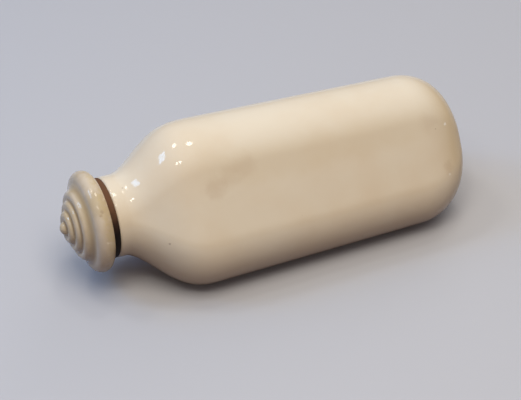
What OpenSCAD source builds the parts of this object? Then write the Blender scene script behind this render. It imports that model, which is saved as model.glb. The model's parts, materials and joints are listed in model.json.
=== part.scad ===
// Stoneware hot water bottle lying on one of its three flats: a glazed bottle,
// a ringed screw stopper and the rubber washer that seals the stopper on the lip.
// Millimetres. X runs along the bottle with the stopper at -X, Z is up, the flat lies on Z = 0.

/* [Body] */
// Length of the bottle from the lip of its neck to its foot
bottle_len = 248.5; // [220:0.5:300]
// Distance from the middle of the body to each flat, at the shoulder
flat_reach = 46; // [42:0.5:52]
// How much the body narrows all round from the shoulder to the foot
draft = 3; // [0:0.5:5]
// Radius of the three long rounded edges between the flats, at the shoulder
edge_r = 33.4; // [28:0.2:38]
// Radius of the round foot that the bottle stands on to be filled
foot_r = 25; // [18:0.5:28]
// Length over which the body rounds in to the foot
foot_round = 37; // [20:1:50]
// Thickness of the stoneware wall
wall = 7; // [5:0.5:9]

/* [Neck] */
// Outer diameter of the neck at the lip
neck_d = 54.2; // [52:0.2:60]
// Straight length of the neck between the lip and the start of the shoulder
neck_len = 7; // [5:0.2:14]
// Length over which the shoulder swells from the neck to the full body
shoulder_len = 55; // [46:1:70]
// Height of the neck's axis over the middle of the body
neck_rise = 3.5; // [0:0.5:6]
// Diameter of the neck's bore, at the middle of its screw thread
bore_d = 40; // [36:0.5:41]
// Length of the bore, from the lip to the inside of the shoulder
bore_len = 28; // [26:0.5:34]
// Rounding of the lip's outer edge
lip_round = 1.6; // [0.5:0.1:2.5]

/* [Stopper] */
// Diameter of the flange that presses on the washer
flange_d = 68.2; // [65:0.2:74]
// Thickness of the flange, which has a fully round edge
flange_t = 12.4; // [11:0.2:14]
// Radius of the cove between the flange and the lowest ring
cove_r = 7.8; // [6:0.2:10]
// Diameter of the lowest ring, measured over its bead
ring_d = 46.6; // [44:0.2:48]
// Height of the lowest ring's middle over the top of the flange
ring_lift = 2.8; // [2:0.1:4]
// Distance from one ring to the next, measured toward the axis
ring_in = 6.1; // [5.7:0.1:6.4]
// Distance from one ring to the next, measured along the axis
ring_up = 3; // [2.6:0.1:3.4]
// Radius of each ring's bead
bead_r = 3.2; // [2.8:0.1:3.6]
// Radius of the hollow groove between one ring and the next
groove_r = 2.4; // [1.8:0.1:3.2]
// Radius of the domed tip
tip_r = 4.6; // [4:0.2:5.4]
// Height of the tip over the last ring's middle
tip_h = 6.4; // [5.6:0.2:7]
// Depth to which the stopper's screw reaches into the neck
screw_reach = 24; // [18:1:25]
// Gap all round between the stopper's screw and the neck's bore
screw_gap = 0.3; // [0.2:0.05:0.6]
// Chamfer on the end of the stopper's screw
screw_chamfer = 2.5; // [1:0.5:4]

/* [Washer] */
// Outer diameter of the rubber washer
washer_d = 54; // [50:0.5:55]
// Thickness of the rubber washer
washer_t = 4.6; // [3:0.2:6]
// Bevel on the washer's outer edges
washer_bevel = 0.6; // [0.2:0.1:0.9]
// Gap all round between the washer's hole and the stopper's screw
washer_gap = 0.3; // [0.2:0.05:0.6]

/* [Hidden] */

glaze_ivory = "#E2D8C4";
glaze_tan = "#D8C7A6";
rubber_brown = "#33241D";

// Facets on each long edge, and cross-sections along the shoulder and the foot
edge_facets = 14;
shoulder_steps = 16;
foot_steps = 12;
lip_steps = 4;
arc_steps = 10;
$fn = 96;

// How much sooner the shoulder leaves the neck than it joins the body
shoulder_skew = 1.5;
// How soon along the shoulder the neck's rise is taken up, and the flats begin to show
rise_fade = 0.4;
flats_fade = 0.7;
// How far the inside of the shoulder starts within the bore, so that the two open into each other
bore_step = 1;

neck_r = neck_d / 2;
bore_r = bore_d / 2;
screw_r = bore_r - screw_gap;
flange_r = flange_d / 2;
flange_edge = flange_t / 2;

// The stopper's outline, as [distance from the axis, height over the lip], is a row of rounds: the flange's
// edge, the rings and the tip. A hollow arc touches each round and the next.
ring_count = 3;
flange_mid = [flange_r - flange_edge, washer_t + flange_edge];
ring_mid = [ring_d / 2 - bead_r, washer_t + flange_t + ring_lift];
last_ring = ring_mid + (ring_count - 1) * [-ring_in, ring_up];
knob_h = last_ring.y + tip_h;
round_mids = concat(
    [flange_mid],
    [for (k = [0 : ring_count - 1]) ring_mid + k * [-ring_in, ring_up]],
    [[0, knob_h - tip_r]]);
round_rs = concat([flange_edge], [for (k = [1 : ring_count]) bead_r], [tip_r]);
hollow_rs = concat([cove_r], [for (k = [1 : ring_count]) groove_r]);

// The whole object is centred along X and stands on Z = 0
total_len = bottle_len + knob_h;
lip_x = knob_h - total_len / 2;
foot_x = total_len / 2;
axis_z = flat_reach + neck_rise;

function mix(a, b, share) = a + (b - a) * share;
function swell(u) = (1 - cos(180 * (1 - pow(1 - u, shoulder_skew)))) / 2;

// Points along a circular arc
function arc(mid, r, from, to) =
    [for (i = [0 : arc_steps]) let (turn = mix(from, to, i / arc_steps)) mid + r * [cos(turn), sin(turn)]];

// Angle of the line from one point to another
function toward(a, b) = atan2(b.y - a.y, b.x - a.x);

// Middle of the hollow arc of radius r that touches two rounds from outside
function hollow_mid(a, a_r, b, b_r, r) =
    let (gap = b - a,
         along = (gap * gap + pow(a_r + r, 2) - pow(b_r + r, 2)) / (2 * norm(gap)),
         out = sqrt(pow(a_r + r, 2) - along * along))
    a + (along * gap + out * [gap.y, -gap.x]) / norm(gap);

// One cross-section: three flats joined by round edges, or a circle where the edge equals the reach.
// The facets of the edges lie outside the true arc, so that each flat lies exactly at its reach.
function cross_section(x, reach, edge, mid_z) =
    [for (corner = [90, 210, 330], i = [0 : edge_facets - 1])
        let (half = 60 / edge_facets,
             turn = corner - 60 + half * (2 * i + 1),
             corner_mid = 2 * (reach - edge) * [cos(corner), sin(corner)],
             point = corner_mid + edge / cos(half) * [cos(turn), sin(turn)])
        [x, point.x, mid_z + point.y]];

// Cross-sections round the outer edge of the lip
function lip() =
    [for (i = [0 : lip_steps])
        let (turn = 90 * i / lip_steps, r = neck_r - lip_round * (1 - sin(turn)))
        cross_section(lip_x + lip_round * (1 - cos(turn)), r, r, axis_z)];

// Share of the reach that the round edges take up on the full body, with the wall taken off inside
function roundness(inset) = (edge_r - inset) / (flat_reach - inset);

// Cross-sections from a round mouth to the full body
function shoulder(mouth_x, mouth_r, length, inset) =
    [for (i = [0 : shoulder_steps])
        let (u = i / shoulder_steps,
             share = swell(u),
             reach = mix(mouth_r, flat_reach - inset, share),
             edge = reach * mix(1, roundness(inset), pow(share, flats_fade)))
        cross_section(mouth_x + length * u, reach, edge, mix(axis_z, flat_reach, pow(share, rise_fade)))];

// Cross-sections from the full body to the round foot
function foot(inset) =
    [for (i = [0 : foot_steps])
        let (turn = 90 * i / foot_steps,
             share = 1 - cos(turn),
             x = foot_x - foot_round + (foot_round - inset) * sin(turn),
             reach = mix(flat_reach - draft, foot_r, share) - inset,
             edge = reach * mix(roundness(inset), 1, share))
        cross_section(x, reach, edge, flat_reach - draft)];

// A closed skin through a row of cross-sections, from -X to +X
module loft(rows) {
    n = len(rows[0]);
    last = len(rows) - 1;
    polyhedron(
        points = [for (row = rows) each row],
        faces = [
            [for (i = [0 : n - 1]) i],
            for (k = [0 : last - 1], i = [0 : n - 1])
                let (a = k * n + i, b = k * n + (i + 1) % n)
                each [[a, a + n, b + n], [a, b + n, b]],
            [for (i = [n - 1 : -1 : 0]) last * n + i]
        ]);
}

// Turns an outline drawn as [distance from the axis, height over the lip] about the neck's axis
module turned(outline) {
    translate([lip_x, 0, axis_z]) rotate([0, -90, 0]) rotate_extrude() polygon(outline);
}

// Slip-cast bottle: three flats, a domed foot and a shoulder drawn in to a short round neck
module bottle() {
    bore_over = 1;
    inner_len = neck_len + shoulder_len - bore_len;
    color(glaze_ivory) difference() {
        loft(concat(lip(), shoulder(lip_x + neck_len, neck_r, shoulder_len, 0), foot(0)));
        loft(concat(shoulder(lip_x + bore_len, bore_r - bore_step, inner_len, wall), foot(wall)));
        translate([lip_x - bore_over, 0, axis_z]) rotate([0, 90, 0])
            cylinder(r = bore_r, h = bore_over + bore_len + 4 * bore_step);
    }
}

// Rubber ring on the stopper's screw, pressed between the lip and the flange
module washer() {
    hole_r = screw_r + washer_gap;
    rim_r = washer_d / 2;
    color(rubber_brown) turned([
        [hole_r, 0], [rim_r - washer_bevel, 0], [rim_r, washer_bevel],
        [rim_r, washer_t - washer_bevel], [rim_r - washer_bevel, washer_t], [hole_r, washer_t]]);
}

// Screw stopper: plain screw body, thick round-edged flange, cove, stepped rings and a domed tip
module stopper() {
    last = len(round_mids) - 1;
    hollows = [for (k = [0 : last - 1])
        hollow_mid(round_mids[k], round_rs[k], round_mids[k + 1], round_rs[k + 1], hollow_rs[k])];
    color(glaze_tan) turned(concat(
        [[0, -screw_reach], [screw_r - screw_chamfer, -screw_reach],
         [screw_r, screw_chamfer - screw_reach], [screw_r, washer_t]],
        [for (k = [0 : last])
            let (mid = round_mids[k],
                 from = k == 0 ? -90 : toward(mid, hollows[k - 1]),
                 to = k == last ? 90 : toward(mid, hollows[k]))
            each concat(
                arc(mid, round_rs[k], from, to),
                k == last ? [] : arc(hollows[k], hollow_rs[k],
                    toward(hollows[k], mid), toward(hollows[k], round_mids[k + 1])))]));
}

bottle();
washer();
stopper();
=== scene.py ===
import json
import math

import bmesh
import bpy
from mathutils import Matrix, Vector


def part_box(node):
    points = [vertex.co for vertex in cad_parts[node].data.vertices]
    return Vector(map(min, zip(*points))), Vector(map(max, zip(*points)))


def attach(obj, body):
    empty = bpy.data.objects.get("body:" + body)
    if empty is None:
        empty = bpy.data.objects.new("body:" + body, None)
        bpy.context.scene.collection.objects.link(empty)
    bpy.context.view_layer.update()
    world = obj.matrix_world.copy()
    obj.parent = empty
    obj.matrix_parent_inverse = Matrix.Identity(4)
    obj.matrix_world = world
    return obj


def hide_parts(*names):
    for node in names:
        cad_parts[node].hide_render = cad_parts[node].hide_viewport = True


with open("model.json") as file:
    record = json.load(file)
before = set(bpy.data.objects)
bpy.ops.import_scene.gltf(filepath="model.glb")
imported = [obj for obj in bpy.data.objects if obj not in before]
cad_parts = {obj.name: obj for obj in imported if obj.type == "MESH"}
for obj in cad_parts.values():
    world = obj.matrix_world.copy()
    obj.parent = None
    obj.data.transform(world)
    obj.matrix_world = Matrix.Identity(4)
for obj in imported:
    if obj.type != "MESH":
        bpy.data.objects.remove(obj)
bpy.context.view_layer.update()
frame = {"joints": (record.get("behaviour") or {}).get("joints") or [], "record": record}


# The bottle is one hollow stoneware casting: three flats joined by broad round edges, drawn in by
# a shoulder to a short round neck. It is slip-cast in a plaster mould, dipped in an ivory glaze
# and fired standing on its foot, which stays bare clay.

lip_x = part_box("bottle")[0].x
foot_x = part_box("bottle")[1].x
stopper_joint = next(joint for joint in frame["joints"] if joint["name"] == "stopper_turn")
axis_z = stopper_joint["pos_m"][2]

flat_reach = 0.046
draft = 0.003
edge_radius = 0.0334
foot_radius = 0.025
foot_round = 0.037
wall = 0.007
neck_radius = 0.0271
neck_length = 0.007
shoulder_length = 0.055
shoulder_skew = 1.5
rise_fade = 0.4
flats_fade = 0.7
bore_radius = 0.02
bore_length = 0.028
lip_round = 0.0016
mouth_round = 0.0008

# One turn of the thread lifts the stopper by its pitch, and the thread runs out at both ends.
coupling = frame["record"]["behaviour"]["couplings"][0]
thread_pitch = 2 * math.pi * coupling["ratio"]
thread_depth = 0.0011
thread_fade = 0.0035
row_step = 0.0004

points_around = 192
shoulder_rows = 64
body_rows = 24
foot_rows = 36
foot_flat_rings = (0.75, 0.5, 0.25)
round_rows = 8


def mix(start, end, share):
    return start + (end - start) * share


def ease(value, start, end):
    """0 before start, 1 after end, and a smooth rise between them."""
    share = min(1, max(0, (value - start) / (end - start)))
    return share * share * (3 - 2 * share)


def steps(count):
    """Shares from 0 to 1."""
    return [step / count for step in range(count + 1)]


def cross_section(x, reach, edge, mid_z):
    """Points round three flats joined by round edges. Where the edge equals the reach, it is a circle."""
    corner_out = 2 * (reach - edge)
    third = math.pi / 3
    flat_begins = math.atan2(edge * math.sin(third), corner_out + edge * math.cos(third))
    points = []
    for step in range(points_around):
        turn = 2 * math.pi * step / points_around
        off_corner = abs((turn - math.pi / 2 + third) % (2 * third) - third)
        if off_corner < flat_begins:
            across = corner_out * math.sin(off_corner)
            out = corner_out * math.cos(off_corner) + math.sqrt(edge * edge - across * across)
        else:
            out = reach / math.cos(third - off_corner)
        points.append((x, out * math.cos(turn), mid_z + out * math.sin(turn)))
    return points


def circle(x, radius):
    return cross_section(x, radius, radius, axis_z)


def roundness(inset):
    """Share of the reach that the round edges take up on the full body."""
    return (edge_radius - inset) / (flat_reach - inset)


def shoulder_sections(mouth_x, mouth_radius, length, inset, rows):
    """From a round mouth to the full body."""
    sections = []
    for along in steps(rows):
        swell = (1 - math.cos(math.pi * (1 - (1 - along) ** shoulder_skew))) / 2
        reach = mix(mouth_radius, flat_reach - inset, swell)
        edge = reach * mix(1, roundness(inset), swell ** flats_fade)
        mid_z = mix(axis_z, flat_reach, swell ** rise_fade)
        sections.append(cross_section(mouth_x + length * along, reach, edge, mid_z))
    return sections


def body_sections(start_x, inset, rows):
    """Along the tapered body, without its two ends."""
    end_x = foot_x - foot_round
    sections = []
    for along in steps(rows)[1:-1]:
        reach = mix(flat_reach, flat_reach - draft, along) - inset
        mid_z = mix(flat_reach, flat_reach - draft, along)
        x = mix(start_x, end_x, along)
        sections.append(cross_section(x, reach, reach * roundness(inset), mid_z))
    return sections


def foot_sections(inset, rows):
    """From the full body round to the flat of the foot."""
    sections = []
    for along in steps(rows):
        turn = along * math.pi / 2
        share = 1 - math.cos(turn)
        x = foot_x - foot_round + (foot_round - inset) * math.sin(turn)
        reach = mix(flat_reach - draft, foot_radius, share) - inset
        edge = reach * mix(roundness(inset), 1, share)
        sections.append(cross_section(x, reach, edge, flat_reach - draft))
    return sections


def closed_skin(name, sections):
    """A mesh through a row of cross-sections, closed at both ends by a fan of triangles."""
    shape = bmesh.new()
    rings = [[shape.verts.new(point) for point in section] for section in sections]
    for ring, following in zip(rings, rings[1:]):
        for step in range(points_around):
            side = (step + 1) % points_around
            shape.faces.new((ring[step], ring[side], following[side], following[step]))
    for ring in (rings[0], rings[-1]):
        middle = sum((corner.co for corner in ring), Vector()) / points_around
        pole = shape.verts.new(middle)
        for step in range(points_around):
            shape.faces.new((ring[step], ring[(step + 1) % points_around], pole))
    bmesh.ops.recalc_face_normals(shape, faces=shape.faces)
    mesh = bpy.data.meshes.new(name)
    shape.to_mesh(mesh)
    shape.free()
    return mesh


full_body_x = lip_x + neck_length + shoulder_length
mouth_radius = bore_radius + thread_depth
bore_rows = round(bore_length / row_step)

outside = []
for along in steps(round_rows):
    turn = along * math.pi / 2
    round_in = lip_round * (1 - math.sin(turn))
    outside.append(circle(lip_x + lip_round * (1 - math.cos(turn)), neck_radius - round_in))
outside += shoulder_sections(lip_x + neck_length, neck_radius, shoulder_length, 0, shoulder_rows)
outside += body_sections(full_body_x, 0, body_rows)
outside += foot_sections(0, foot_rows)
for share in foot_flat_rings:
    ring_reach = foot_radius * share
    outside.append(cross_section(foot_x, ring_reach, ring_reach, flat_reach - draft))

inside = []
inside_depths = []
for along in steps(round_rows):
    turn = along * math.pi / 2
    depth_in = mouth_round * (1 - math.cos(turn))
    inside.append(circle(lip_x + depth_in, mouth_radius + mouth_round * (1 - math.sin(turn))))
    inside_depths.append(0)
for along in steps(bore_rows)[1:]:
    depth_in = mix(mouth_round, bore_length, along)
    run_in = ease(depth_in, mouth_round, thread_fade)
    run_out = 1 - ease(depth_in, bore_length - thread_fade, bore_length)
    cut = thread_depth * run_in * run_out
    inside.append(circle(lip_x + depth_in, mouth_radius - cut))
    inside_depths.append(cut)
bore_end_x = lip_x + bore_length
inner_length = full_body_x - bore_end_x
hollow = shoulder_sections(bore_end_x, mouth_radius, inner_length, wall, shoulder_rows // 2)[1:]
hollow += body_sections(full_body_x, wall, body_rows // 4)
hollow += foot_sections(wall, foot_rows // 2)
inside += hollow
inside_depths += [0] * len(hollow)

bottle_mesh = closed_skin("bottle_casting", inside[::-1] + outside)
depth_layer = bottle_mesh.attributes.new("thread_depth", "FLOAT", "POINT")
for section, cut in enumerate(inside_depths[::-1]):
    for step in range(points_around):
        depth_layer.data[section * points_around + step].value = cut


class Wire:
    """One output of a node. Arithmetic with wires and numbers adds Math nodes to its tree."""

    def __init__(self, socket):
        self.socket = socket

    def __getitem__(self, output):
        return Wire(self.socket.node.outputs[output])

    def maths(self, operation, *values):
        tree = self.socket.id_data
        return Recipe(tree).add("ShaderNodeMath", {"operation": operation}, dict(enumerate(values)))

    def __add__(self, other):
        return self.maths("ADD", self, other)

    def __radd__(self, other):
        return self.maths("ADD", other, self)

    def __sub__(self, other):
        return self.maths("SUBTRACT", self, other)

    def __rsub__(self, other):
        return self.maths("SUBTRACT", other, self)

    def __mul__(self, other):
        return self.maths("MULTIPLY", self, other)

    def __rmul__(self, other):
        return self.maths("MULTIPLY", other, self)

    def __truediv__(self, other):
        return self.maths("DIVIDE", self, other)

    def __rtruediv__(self, other):
        return self.maths("DIVIDE", other, self)

    def __pow__(self, other):
        return self.maths("POWER", self, other)

    def __rpow__(self, other):
        return self.maths("POWER", other, self)


class Recipe:
    """A node tree while it is put together."""

    def __init__(self, tree):
        self.tree = tree

    def find(self, node, name):
        """A node's input, by its number or by its name among those in use."""
        if isinstance(name, int):
            return node.inputs[name]
        in_use = [socket for socket in node.inputs if socket.enabled]
        return next(socket for socket in in_use if name in (socket.identifier, socket.name))

    def add(self, kind, settings=None, sockets=None):
        """Adds a node, sets its settings, sets or links its sockets, and gives its first output."""
        node = self.tree.nodes.new(kind)
        for setting, value in (settings or {}).items():
            setattr(node, setting, value)
        for name, value in (sockets or {}).items():
            socket = self.find(node, name)
            if isinstance(value, Wire):
                self.tree.links.new(value.socket, socket)
            else:
                socket.default_value = value
        outputs = [output for output in node.outputs if output.enabled]
        return Wire(outputs[0]) if outputs else None

    def vector(self, operation, *values, **sockets):
        """One step of vector maths."""
        sockets.update(enumerate(values))
        return self.add("ShaderNodeVectorMath", {"operation": operation}, sockets)

    def split(self, vector):
        """A vector's X, Y and Z."""
        return self.add("ShaderNodeSeparateXYZ", {}, {"Vector": vector})

    def noise(self, place, scale, detail, roughness=0.5):
        """Soft random clouds, with so many to a metre."""
        return self.add("ShaderNodeTexNoise", {}, {
            "Vector": place, "Scale": scale, "Detail": detail, "Roughness": roughness})

    def stored(self, layer):
        """A value that the piece's points hold."""
        return self.add("GeometryNodeInputNamedAttribute", {"data_type": "FLOAT"}, {"Name": layer})

    def layer(self, share, under, over):
        """One colour over another."""
        colours = {"Factor": share, "A": under, "B": over}
        return self.add("ShaderNodeMix", {"data_type": "RGBA"}, colours)

    def between(self, value, start, end):
        """0 at start, 1 at end, and a smooth change between them."""
        return self.add("ShaderNodeMapRange", {"interpolation_type": "SMOOTHSTEP"},
                        {"Value": value, "From Min": start, "From Max": end})


def geometry_recipe(name, inputs):
    """A Geometry Nodes tree with named inputs and a piece as its result."""
    tree = bpy.data.node_groups.new(name, "GeometryNodeTree")
    for label, kind in inputs.items():
        tree.interface.new_socket(label, in_out="INPUT", socket_type=kind)
    tree.interface.new_socket("Piece", in_out="OUTPUT", socket_type="NodeSocketGeometry")
    return Recipe(tree)


def end_recipe(nodes, piece, finish):
    """Ends a Geometry Nodes tree in a plain, smooth mesh with its finish."""
    smooth = nodes.add("GeometryNodeSetShadeSmooth", {}, {"Geometry": piece})
    real = nodes.add("GeometryNodeRealizeInstances", {}, {"Geometry": smooth})
    painted = nodes.add("GeometryNodeSetMaterial", {}, {"Geometry": real, "Material": finish})
    nodes.add("NodeGroupOutput", {}, {"Piece": painted})


def thread_recipe():
    """Pushes a piece's surface in and out from the neck's axis in a right-hand rounded thread."""
    nodes = geometry_recipe("cut_thread", {
        "Piece": "NodeSocketGeometry", "Pitch": "NodeSocketFloat", "Lip": "NodeSocketFloat",
        "Axis height": "NodeSocketFloat", "Finish": "NodeSocketMaterial"})
    given = nodes.add("NodeGroupInput")
    place = nodes.split(nodes.add("GeometryNodeInputPosition"))
    side = place["Y"]
    up = place["Z"] - given["Axis height"]
    turn = side.maths("ARCTAN2", side, up)
    rise = given["Lip"] - place["X"]
    wave = turn.maths("COSINE", 2 * math.pi * rise / given["Pitch"] - turn)
    outward = nodes.add("ShaderNodeCombineXYZ", {}, {"Y": side, "Z": up})
    direction = nodes.vector("NORMALIZE", outward)
    push = nodes.vector("SCALE", direction, Scale=nodes.stored("thread_depth") * wave)
    cut = nodes.add("GeometryNodeSetPosition", {}, {"Geometry": given["Piece"], "Offset": push})
    end_recipe(nodes, cut, given["Finish"])
    return nodes.tree


def run_recipe(piece, tree, values):
    """Runs a Geometry Nodes tree on a piece and keeps the result as its plain mesh."""
    modifier = piece.modifiers.new(tree.name, "NODES")
    modifier.node_group = tree
    for socket in tree.interface.items_tree:
        if socket.in_out == "INPUT" and socket.name in values:
            modifier[socket.identifier] = values[socket.name]
    evaluated = piece.evaluated_get(bpy.context.evaluated_depsgraph_get())
    made = bpy.data.meshes.new_from_object(evaluated)
    piece.modifiers.remove(modifier)
    piece.data = made


def new_piece(name, mesh):
    piece = bpy.data.objects.new(name, mesh)
    bpy.context.scene.collection.objects.link(piece)
    return piece


def new_finish(name):
    """An empty material and its recipe."""
    material = bpy.data.materials.new(name)
    material.use_nodes = True
    material.node_tree.nodes.clear()
    return material, Recipe(material.node_tree)


def glaze(name, pale, warm, cloud_size):
    """A new glaze: its recipe, its place on the piece and its clouded colour with iron specks."""
    material, nodes = new_finish(name)
    place = nodes.add("ShaderNodeTexCoord")["Object"]
    cloud = nodes.noise(place, 1 / cloud_size, 4, cloud_roughness)
    colour = nodes.layer(nodes.between(cloud, *cloud_range), pale, warm)
    speck = nodes.add("ShaderNodeTexVoronoi", {}, {"Vector": place, "Scale": 1 / speck_spacing})
    speck_edge = speck_size / speck_spacing
    small = nodes.between(speck["Distance"], speck_edge, speck_core * speck_edge)
    chosen = nodes.add("ShaderNodeSeparateColor", {}, {"Color": speck["Color"]})
    rare = chosen["Red"].maths("LESS_THAN", chosen["Red"], speck_share)
    colour = nodes.layer(small * rare * speck_strength, colour, iron_brown)
    return material, nodes, place, colour


def ragged_mark(nodes, place, off, radius, grain):
    """A soft mark with a ragged edge: 1 in its middle and 0 farther off than its radius."""
    ragged = nodes.noise(place, grain / radius, 3)
    return nodes.between(off / radius + ragged - 0.5, 1.0, mark_core)


def marked(nodes, place, colour, marks):
    """A colour with spots over it, each given as (tint, middle, radius, strength)."""
    for tint, middle, radius, strength in marks:
        off = nodes.vector("DISTANCE", place, middle)["Value"]
        spot = ragged_mark(nodes, place, off, radius, spot_grain)
        colour = nodes.layer(strength * spot, colour, tint)
    return colour


def streak(nodes, place, start, end, radius):
    """A soft ragged streak between two points that lie along X."""
    way = (Vector(end) - Vector(start)).normalized()
    aside = nodes.vector("CROSS_PRODUCT", nodes.vector("SUBTRACT", place, start), way)
    off = nodes.vector("LENGTH", aside)["Value"]
    along = nodes.split(place)["X"]
    begun = nodes.between(along, start[0] - radius, start[0] + radius)
    not_ended = nodes.between(along, end[0] + radius, end[0] - radius)
    return begun * not_ended * ragged_mark(nodes, place, off, radius, streak_grain)


def end_glaze(nodes, place, colour, roughness):
    """Gives a glaze its shine, with the slow waviness of a fired surface."""
    wave = nodes.noise(place, 1 / wave_size, 2)
    bump = nodes.add("ShaderNodeBump", {}, {
        "Strength": 1.0, "Distance": wave_height, "Height": wave})
    shader = nodes.add("ShaderNodeBsdfPrincipled", {}, {
        "Base Color": colour, "Roughness": roughness, "IOR": glaze_bend, "Normal": bump})
    nodes.add("ShaderNodeOutputMaterial", {}, {"Surface": shader})


ivory_pale = (0.77, 0.695, 0.555, 1)
ivory_warm = (0.74, 0.64, 0.485, 1)
iron_brown = (0.20, 0.11, 0.06, 1)
clay_buff = (0.64, 0.51, 0.36, 1)
straw = (0.62, 0.48, 0.26, 1)
tea_brown = (0.45, 0.30, 0.17, 1)
painted_highlight_white = (0.90, 0.87, 0.80, 1)
ivory_cloud_size = 0.07
cloud_roughness = 0.55
cloud_range = 0.35, 0.7
speck_spacing = 0.009
speck_size = 0.0007
speck_core = 0.4
speck_share = 0.08
speck_strength = 0.35
wave_size = 0.03
wave_height = 0.0004
glaze_bend = 1.52
ivory_roughness = 0.09
clay_roughness = 0.7
mark_core = 0.2
spot_grain = 1.6
streak_grain = 0.8

# The glaze is yellower where it thins toward the foot, and ends just short of the foot's flat.
foot_tint = 0.7
foot_tint_x = 0.113
glaze_end = 0.0012
glaze_end_fade = 0.0006

# A straw-tinted band of painted shade runs along the front flat's upper edge. The stains lie at its
# start, at the flat's far corner and near the foot, an iron spot low on the shoulder and two painted
# highlights near the foot.
edge_streak = (-0.0485, -0.0300, 0.0860), (0.1118, -0.0280, 0.0795)
streak_radius = 0.017
streak_strength = 0.16
bottle_marks = [
    (tea_brown, (-0.0450, -0.0346, 0.0780), 0.011, 0.22),
    (tea_brown, (-0.0339, -0.0318, 0.0821), 0.011, 0.12),
    (tea_brown, (-0.0231, -0.0296, 0.0854), 0.012, 0.15),
    (tea_brown, (0.1125, -0.0273, 0.0805), 0.010, 0.12),
    (tea_brown, (0.1218, -0.0424, 0.0507), 0.006, 0.2),
    (iron_brown, (-0.0802, -0.0409, 0.0477), 0.0012, 0.5),
    # These two white spots are painted highlights on the foot's edge.
    (painted_highlight_white, (0.1257, -0.0269, 0.0751), 0.0016, 1),
    (painted_highlight_white, (0.1216, -0.0448, 0.0465), 0.0013, 0.6)]

ivory_glaze, nodes, place, colour = glaze("ivory_glaze", ivory_pale, ivory_warm, ivory_cloud_size)
along = nodes.split(place)["X"]
colour = nodes.layer(foot_tint * nodes.between(along, foot_tint_x, foot_x), colour, straw)
# Painted shade: a straw-tinted band along the front flat's upper edge.
painted_edge_shade = streak(nodes, place, *edge_streak, streak_radius)
colour = nodes.layer(streak_strength * painted_edge_shade, colour, straw)
colour = marked(nodes, place, colour, bottle_marks)
bare = nodes.between(along, foot_x - glaze_end, foot_x - glaze_end_fade)
colour = nodes.layer(bare, colour, clay_buff)
end_glaze(nodes, place, colour, ivory_roughness + clay_roughness * bare)

bottle = new_piece("glazed_bottle", bottle_mesh)
cut_thread = thread_recipe()
thread_sizes = {"Pitch": thread_pitch, "Lip": lip_x, "Axis height": axis_z}
run_recipe(bottle, cut_thread, {**thread_sizes, "Finish": ivory_glaze})
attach(bottle, "bottle")
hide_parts("bottle")


# The washer is a ring of old brown-black rubber pushed over the stopper's screw. The flange
# presses it on the lip to seal the bottle, and its rim bulges a little under that load.

washer_thickness = lip_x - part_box("washer")[0].x
washer_radius = (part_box("washer")[1].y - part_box("washer")[0].y) / 2
washer_hole = 0.02
washer_bulge = 0.0006
washer_rim_rows = 16

# Points of a turned piece that lie closer than this are one point.
seam_gap = 1e-6


def lathe_recipe():
    """Turns an outline of (distance from the axis, height over the lip) about the neck's axis."""
    nodes = geometry_recipe("turn_on_lathe", {
        "Outline": "NodeSocketGeometry", "Points around": "NodeSocketInt",
        "Lip": "NodeSocketFloat", "Axis height": "NodeSocketFloat",
        "Finish": "NodeSocketMaterial"})
    given = nodes.add("NodeGroupInput")
    outline = given["Outline"]
    size = nodes.add("GeometryNodeAttributeDomainSize", {"component": "MESH"}, {"Geometry": outline})
    columns = given["Points around"] + 1
    grid = nodes.add("GeometryNodeMeshGrid", {}, {
        "Vertices X": size["Point Count"], "Vertices Y": columns})
    index = nodes.add("GeometryNodeInputIndex")
    row = index.maths("FLOOR", index / columns)
    turn = 2 * math.pi * (index - row * columns) / given["Points around"]

    def from_outline(kind, value):
        return nodes.add("GeometryNodeSampleIndex", {"data_type": kind}, {
            "Geometry": outline, "Value": value, "Index": row})

    point = nodes.split(from_outline("FLOAT_VECTOR", nodes.add("GeometryNodeInputPosition")))
    out = point["X"]
    spot = nodes.add("ShaderNodeCombineXYZ", {}, {
        "X": given["Lip"] - point["Y"],
        "Y": out * turn.maths("SINE", turn),
        "Z": given["Axis height"] + out * turn.maths("COSINE", turn)})
    piece = grid
    for layer in ("thread_depth", "groove"):
        value = from_outline("FLOAT", nodes.stored(layer))
        piece = nodes.add(
            "GeometryNodeStoreNamedAttribute", {"data_type": "FLOAT", "domain": "POINT"},
            {"Geometry": piece, "Name": layer, "Value": value})
    piece = nodes.add("GeometryNodeSetPosition", {}, {"Geometry": piece, "Position": spot})
    piece = nodes.add("GeometryNodeMergeByDistance", {}, {"Geometry": piece, "Distance": seam_gap})
    end_recipe(nodes, piece, given["Finish"])
    return nodes.tree


def turned_piece(name, outline, finish):
    """A piece turned from an outline whose points hold (out, height, thread depth, groove)."""
    mesh = bpy.data.meshes.new(name)
    mesh.from_pydata([(out, height, 0) for out, height, cut, groove in outline], [], [])
    for layer, column in (("thread_depth", 2), ("groove", 3)):
        values = mesh.attributes.new(layer, "FLOAT", "POINT")
        values.data.foreach_set("value", [point[column] for point in outline])
    piece = new_piece(name, mesh)
    run_recipe(piece, turn_on_lathe, {
        "Points around": points_around, "Lip": lip_x, "Axis height": axis_z, "Finish": finish})
    shape = bmesh.new()
    shape.from_mesh(piece.data)
    bmesh.ops.recalc_face_normals(shape, faces=shape.faces)
    shape.to_mesh(piece.data)
    shape.free()
    return piece


def arc(middle, radius, start, end, count):
    """Points along an arc, given in degrees."""
    turns = [math.radians(mix(start, end, along)) for along in steps(count)]
    return [middle + radius * Vector((math.cos(turn), math.sin(turn))) for turn in turns]


# The rubber's colour holds painted light and shade: brown on top and black below, with no sharp line
# between.
lit_rubber_brown = (0.15, 0.075, 0.04, 1)
shaded_rubber_black = (0.010, 0.007, 0.006, 1)
black_below = 0.06
brown_above = 0.09
wear_and_shade_scale = 90
shade_edge_wander = 0.02
grain_scale = 900
grain_strength = 0.6
grain_height = 0.0003
rubber_shine = 0.15
rubber_roughness = 0.55
age_roughness = 0.25

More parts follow.
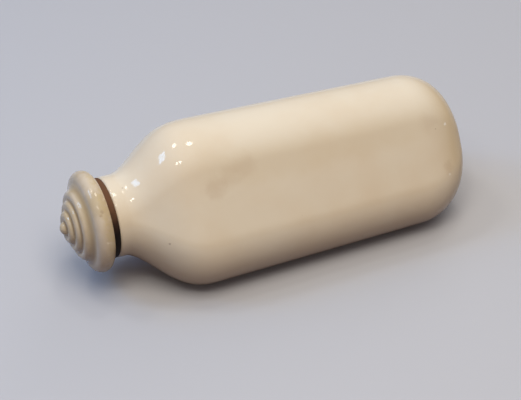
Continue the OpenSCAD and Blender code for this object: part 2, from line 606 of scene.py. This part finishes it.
washer_rubber, nodes = new_finish("washer_rubber")
place = nodes.add("ShaderNodeTexCoord")["Object"]
height = nodes.split(place)["Z"]
wear_and_shade_noise = nodes.noise(place, wear_and_shade_scale, 5)
# Painted light and shade: the rubber's colour runs from black low down to lit brown higher up.
painted_top_light = nodes.between(height + shade_edge_wander * wear_and_shade_noise, black_below, brown_above)
bump = nodes.add("ShaderNodeBump", {}, {
    "Strength": grain_strength, "Distance": grain_height, "Height": nodes.noise(place, grain_scale, 3)})
shader = nodes.add("ShaderNodeBsdfPrincipled", {}, {
    "Base Color": nodes.layer(painted_top_light, shaded_rubber_black, lit_rubber_brown),
    "Roughness": rubber_roughness + age_roughness * wear_and_shade_noise,
    "Specular IOR Level": rubber_shine, "Normal": bump})
nodes.add("ShaderNodeOutputMaterial", {}, {"Surface": shader})

turn_on_lathe = lathe_recipe()
rim_height = washer_thickness / 2
washer_outline = [(washer_hole, 0, 0, 0)]
for along in steps(washer_rim_rows):
    turn = mix(-math.pi / 2, math.pi / 2, along)
    out = washer_radius - washer_bulge * (1 - math.cos(turn))
    washer_outline.append((out, rim_height * (1 + math.sin(turn)), 0, 0))
washer_outline += [(washer_hole, washer_thickness, 0, 0), (washer_hole, 0, 0, 0)]
washer = turned_piece("rubber_washer", washer_outline, washer_rubber)
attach(washer, "washer")
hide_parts("washer")


# The stopper is a solid stoneware screw: a coarse thread, a thick round-edged flange to grip,
# a cove, three stepped rings and a domed tip. It is pressed in a mould, and its thinner, yellower
# glaze turns ochre in the cove and the grooves, where brown stain and painted shade darken it.

stopper_top = lip_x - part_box("stopper")[0].x
screw_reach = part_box("stopper")[1].x - lip_x
screw_radius = 0.0197
screw_chamfer = 0.0025
flange_radius = (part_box("stopper")[1].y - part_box("stopper")[0].y) / 2
flange_edge = 0.0062
cove_radius = 0.0078
groove_radius = 0.0024
bead_radius = 0.0032
ring_radius = 0.0233
ring_lift = 0.0028
ring_count = 3
ring_step = Vector((-0.0061, 0.003))
tip_radius = 0.0046
bead_rows = 24
hollow_rows = 12
tip_rows = 16

screw = [(0, -screw_reach, 0, 0), (screw_radius - screw_chamfer, -screw_reach, 0, 0)]
screw_rows = round((screw_reach - screw_chamfer) / row_step)
for along in steps(screw_rows):
    height = mix(screw_chamfer - screw_reach, 0, along)
    run_in = ease(height, screw_chamfer - screw_reach, thread_fade + screw_chamfer - screw_reach)
    run_out = 1 - ease(height, -thread_fade, 0)
    cut = thread_depth * run_in * run_out
    core = screw_radius - thread_depth * (1 - run_in + run_out)
    screw.append((core, height, cut, 0))


def hollow_middle(first, first_radius, second, second_radius, radius):
    """Middle of the hollow arc that touches two rounds from outside."""
    way = second - first
    from_first = first_radius + radius
    from_second = second_radius + radius
    forward = (way.length_squared + from_first ** 2 - from_second ** 2) / (2 * way.length)
    outward = math.sqrt(from_first ** 2 - forward ** 2)
    return first + (forward * way + outward * Vector((way.y, -way.x))) / way.length


def heading(start, end):
    """Angle of the line between two points, in degrees."""
    return math.degrees(math.atan2(end.y - start.y, end.x - start.x))


# The crown's outline is a row of rounds, which are the flange's edge, the rings and the tip. A hollow
# joins each round to the next, and stain and painted shade darken it, less in the cove than in the
# grooves.
cove_stain_and_shade = 0.75
groove_stain_and_shade = 1
first_ring = Vector((ring_radius - bead_radius, washer_thickness + 2 * flange_edge + ring_lift))
rounds = [(Vector((flange_radius - flange_edge, washer_thickness + flange_edge)), flange_edge)]
rounds += [(first_ring + ring * ring_step, bead_radius) for ring in range(ring_count)]
rounds += [(Vector((0, stopper_top - tip_radius)), tip_radius)]
hollows = [(cove_radius, cove_stain_and_shade)] + ring_count * [(groove_radius, groove_stain_and_shade)]

stopper_outline = screw + [(screw_radius, washer_thickness, 0, 0)]
start = -90
for (middle, radius), (following, following_radius), hollow in zip(rounds, rounds[1:], hollows):
    hollow_radius, hollow_stain_and_shade = hollow
    dip = hollow_middle(middle, radius, following, following_radius, hollow_radius)
    for point in arc(middle, radius, start, heading(middle, dip), bead_rows):
        stopper_outline.append((point.x, point.y, 0, 0))
    hollow_arc = arc(dip, hollow_radius, heading(dip, middle), heading(dip, following), hollow_rows)
    for point, share in zip(hollow_arc[1:-1], steps(hollow_rows)[1:-1]):
        stopper_outline.append((point.x, point.y, 0, hollow_stain_and_shade * math.sin(math.pi * share)))
    start = heading(following, dip)
for point in arc(following, following_radius, start, 90, tip_rows):
    stopper_outline.append((max(point.x, 0), point.y, 0, 0))

tan_pale = (0.64, 0.55, 0.425, 1)
tan_warm = (0.53, 0.43, 0.28, 1)
rim_ochre = (0.55, 0.44, 0.23, 1)
stain_and_shade_brown = (0.24, 0.14, 0.075, 1)
tan_cloud_size = 0.025
tan_roughness = 0.1
stain_roughness = 0.15

# The grooves are ochre, with brown stain and painted shade that are strongest in their depths, and more
# painted shade on the lower side.
groove_ochre = 0.8
broad_stain_and_shade = 0.4
deep_stain_and_shade = 0.5
stain_and_shade_above = 0.75
painted_shade_below = 0.45
below_reach = 0.012
patch_scale = 60
patch_range = 0.15, 0.5

# The flange's rim is worn and mottled toward the washer, with two brown marks and a painted highlight on
# a pit.
worn_from = 0.0135
worn_full = 0.0095
worn_ochre = 0.5
mottle_scale = 300
mottle_range = 0.35, 0.6
flange_marks = [
    (stain_and_shade_brown, (-0.1190, -0.0236, 0.0735), 0.0019, 0.35),
    (stain_and_shade_brown, (-0.1203, -0.0250, 0.0717), 0.0015, 0.35),
    # The pale spot is a painted highlight.
    (ivory_pale, (-0.1194, -0.0331, 0.0554), 0.0014, 0.8)]

tan_glaze, nodes, place, colour = glaze("tan_glaze", tan_pale, tan_warm, tan_cloud_size)
groove = nodes.add("ShaderNodeAttribute", {"attribute_name": "groove"})["Fac"]
spot = nodes.split(place)
below = nodes.between(spot["Z"], axis_z + below_reach, axis_z - below_reach)
patchy = nodes.between(nodes.noise(place, patch_scale, 4), *patch_range)
# Brown stain and painted shade in the hollows, darkest in their depths.
stain_and_shade = broad_stain_and_shade * groove + deep_stain_and_shade * groove ** 3
# The lower side of the stopper gets extra painted shade.
stain_and_shade = stain_and_shade * (stain_and_shade_above + painted_shade_below * below) * patchy
mottled = nodes.between(nodes.noise(place, mottle_scale, 4), *mottle_range)
worn = nodes.between(spot["X"], lip_x - worn_from, lip_x - worn_full) * mottled
colour = nodes.layer(worn_ochre * worn, colour, rim_ochre)
colour = nodes.layer(groove_ochre * groove, colour, rim_ochre)
colour = nodes.layer(stain_and_shade, colour, stain_and_shade_brown)
colour = marked(nodes, place, colour, flange_marks)
end_glaze(nodes, place, colour, tan_roughness + stain_roughness * stain_and_shade)

stopper = turned_piece("ringed_stopper", stopper_outline, tan_glaze)
run_recipe(stopper, cut_thread, {**thread_sizes, "Finish": tan_glaze})
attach(stopper, "stopper")
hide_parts("stopper")


# The bottle lies on a plain pale floor in a softly lit room: a broad warm lamp over the front,
# a weaker one at the back, and cool daylight from beyond the stopper. Only a window and four
# ceiling lamps are mirrored in the glaze, as two cool patches and a few sparks.

floor_shade = (0.50, 0.51, 0.54, 1)
floor_bounce = (0.07, 0.035, 0.025, 1)
floor_roughness = 0.8
floor_size = 12
wall_light = (0.25, 0.15, 0.10, 1)
ceiling_light = (0.36, 0.40, 0.45, 1)

half = floor_size / 2
floor_corners = [(-half, -half, 0), (half, -half, 0), (half, half, 0), (-half, half, 0)]
floor_mesh = bpy.data.meshes.new("floor")
floor_mesh.from_pydata(floor_corners, [], [range(len(floor_corners))])
floor = new_piece("floor", floor_mesh)
floor_paint, nodes = new_finish("floor_paint")
path = nodes.add("ShaderNodeLightPath")
seen = path["Is Camera Ray"] + path["Is Glossy Ray"] + path["Is Transmission Ray"]
shader = nodes.add("ShaderNodeBsdfPrincipled", {}, {
    "Base Color": nodes.layer(seen, floor_bounce, floor_shade), "Roughness": floor_roughness})
nodes.add("ShaderNodeOutputMaterial", {}, {"Surface": shader})
floor_mesh.materials.append(floor_paint)

room = bpy.data.worlds.new("soft_room")
room.use_nodes = True
room.node_tree.nodes.clear()
nodes = Recipe(room.node_tree)
upward = nodes.split(nodes.add("ShaderNodeTexCoord")["Generated"])["Z"]
light = nodes.layer(upward, wall_light, ceiling_light)
glow = nodes.add("ShaderNodeBackground", {}, {"Color": light})
nodes.add("ShaderNodeOutputWorld", {}, {"Surface": glow})
bpy.context.scene.world = room

lamp_distance = 1.6
broad = (0.9, 0.9)
lamp_warm = (1.0, 0.885, 0.745)
lamp_cream = (1.0, 0.95, 0.88)
sky_blue = (0.1, 0.4, 1.0)
window_blue = (0.32, 0.62, 1.0)
bulb_warm = (1.0, 0.94, 0.84)

# Ceiling lamps, as (diameter, power, direction)
ceiling_lamps = [
    (0.26, 1.9, (0.10, 0.07, 0.99)),
    (0.26, 1.9, (-0.33, 0.28, 0.90)),
    (0.14, 0.95, (-0.47, -0.36, 0.81)),
    (0.14, 0.95, (-0.33, -0.42, 0.85))]


def lamp(name, shape, size, power, tint, direction, mirrored=True):
    """A flat lamp that looks at the neck's height over the middle of the bottle."""
    light = bpy.data.lights.new(name, "AREA")
    light.shape = shape
    light.size, light.size_y = size
    light.energy = power
    light.color = tint
    holder = bpy.data.objects.new(name, light)
    holder.location = Vector((0, 0, axis_z)) + lamp_distance * Vector(direction).normalized()
    holder.rotation_euler = Vector(direction).to_track_quat("Z", "Y").to_euler()
    holder.visible_glossy = mirrored
    bpy.context.scene.collection.objects.link(holder)


lamp("soft_lamp", "RECTANGLE", broad, 15, lamp_warm, (-0.1, -0.38, 0.93), mirrored=False)
lamp("back_lamp", "RECTANGLE", broad, 3.5, lamp_cream, (0.6, 0.65, 0.45), mirrored=False)
lamp("sky_lamp", "RECTANGLE", broad, 4.6, sky_blue, (-0.62, 0.35, 0.70), mirrored=False)
lamp("window", "RECTANGLE", (0.42, 0.26), 2.6, window_blue, (-0.70, 0.27, 0.66))
for number, (size, power, direction) in enumerate(ceiling_lamps):
    lamp(f"ceiling_lamp_{number + 1}", "DISK", (size, size), power, bulb_warm, direction)

bpy.context.scene.view_settings.view_transform = "Standard"


# The camera stands in front, a little to the stopper's side, and looks down on the front flat.
# Its place and its focal length are those that fit the photograph's outline.

photo_width = 521
focal_pixels = 2000
view_azimuth = math.radians(-24.0)
view_elevation = math.radians(36.6)
view_distance = 1.352
view_target = Vector((0.00173, 0, 0.0305))

back = Vector((
    math.sin(view_azimuth) * math.cos(view_elevation),
    -math.cos(view_azimuth) * math.cos(view_elevation),
    math.sin(view_elevation)))
camera = bpy.data.objects.new("camera", bpy.data.cameras.new("camera"))
camera.data.lens = camera.data.sensor_width * focal_pixels / photo_width
camera.location = view_target + view_distance * back
camera.rotation_euler = (-back).to_track_quat("-Z", "Y").to_euler()
bpy.context.scene.collection.objects.link(camera)
bpy.context.scene.camera = camera
